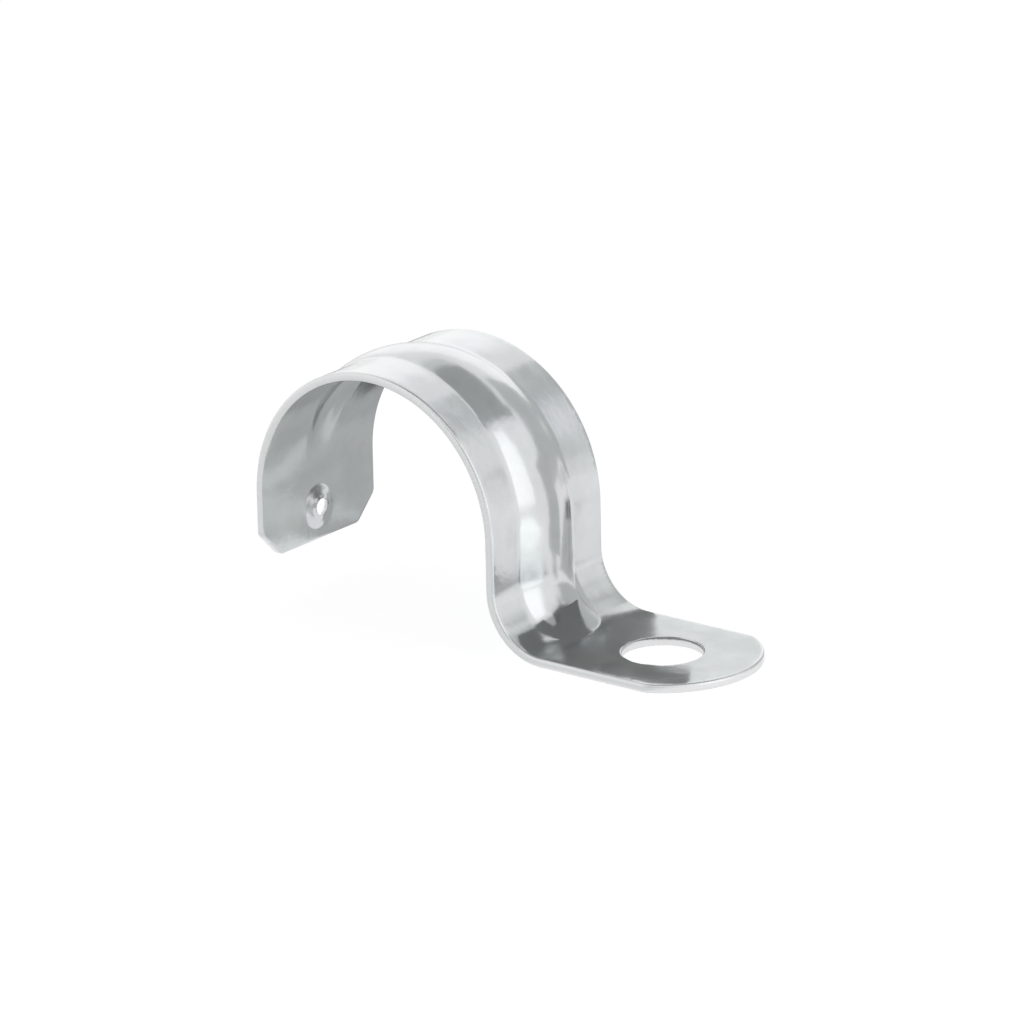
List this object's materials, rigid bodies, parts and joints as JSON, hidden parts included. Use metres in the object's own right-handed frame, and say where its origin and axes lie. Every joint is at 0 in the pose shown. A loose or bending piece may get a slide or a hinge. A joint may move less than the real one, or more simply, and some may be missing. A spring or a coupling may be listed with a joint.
{
  "type": "conduit clip",
  "caption": "One-hole strap of ribbed sheet steel that clips over a round conduit and is screwed to a wall.",
  "frame": {"origin": "on the conduit's axis, at the middle of the strap's width", "axes": "+X along the strap towards the drilled foot, +Y along the conduit, +Z away from the wall"},
  "size_m": [0.0566, 0.0186, 0.0282],
  "materials": {
    "zinc_plate": "bright zinc plate, soft mottled sheen"
  },
  "bodies": {
    "root": {"strap": "zinc_plate"}
  },
  "joints": []
}
